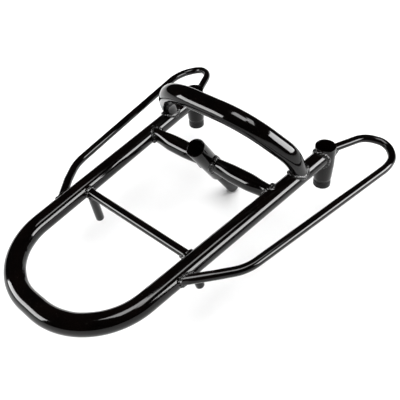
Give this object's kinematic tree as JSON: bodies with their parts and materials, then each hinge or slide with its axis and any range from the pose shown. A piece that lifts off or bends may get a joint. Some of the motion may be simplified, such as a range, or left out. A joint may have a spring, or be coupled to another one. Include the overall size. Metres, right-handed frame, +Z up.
{
  "type": "tubular rear luggage rack",
  "caption": "Rigid welded tubular luggage rack: rounded hoop deck with cross tubes, raised grab arch, looped side rails, bored mounting sleeves and locating pegs.",
  "frame": {"origin": "middle of the underside of the rack's box", "axes": "+X across the rack to the right-hand side, +Y from the rounded rear end towards the front loops, +Z up, square to the hoop's plane"},
  "size_m": [0.4236, 0.5148, 0.2059],
  "materials": {
    "frame_gloss_black": "smooth gloss black stove enamel over steel tube and bar",
    "weld_gloss_black": "gloss black enamel over rippled weld bead",
    "bush_black": "satin black hard rubber"
  },
  "bodies": {
    "root": {"main_hoop": "frame_gloss_black", "rear_cross_bar": "frame_gloss_black", "grab_arch": "frame_gloss_black", "centre_sleeve": "frame_gloss_black", "centre_spacer": "frame_gloss_black", "front_cross_tube_right": "frame_gloss_black", "front_cross_tube_left": "frame_gloss_black", "side_rail_right": "frame_gloss_black", "side_rail_left": "frame_gloss_black", "mounting_sleeve_right": "frame_gloss_black", "mounting_sleeve_left": "frame_gloss_black", "spacer_bush_right": "bush_black", "spacer_bush_left": "bush_black", "locating_peg_right": "frame_gloss_black", "locating_peg_left": "frame_gloss_black", "rail_gusset_right": "frame_gloss_black", "rail_gusset_left": "frame_gloss_black", "weld_hoop_sleeve_right": "weld_gloss_black", "weld_hoop_sleeve_left": "weld_gloss_black", "weld_arch_hoop_right": "weld_gloss_black", "weld_arch_hoop_left": "weld_gloss_black", "weld_front_tube_hoop_right": "weld_gloss_black", "weld_front_tube_hoop_left": "weld_gloss_black", "weld_front_tube_sleeve_right": "weld_gloss_black", "weld_front_tube_sleeve_left": "weld_gloss_black", "weld_rear_bar_hoop_right": "weld_gloss_black", "weld_rear_bar_hoop_left": "weld_gloss_black", "weld_rail_sleeve_right": "weld_gloss_black", "weld_rail_sleeve_left": "weld_gloss_black", "weld_rail_hoop_right": "weld_gloss_black", "weld_rail_hoop_left": "weld_gloss_black", "weld_peg_bar_right": "weld_gloss_black", "weld_peg_bar_left": "weld_gloss_black"}
  },
  "joints": []
}
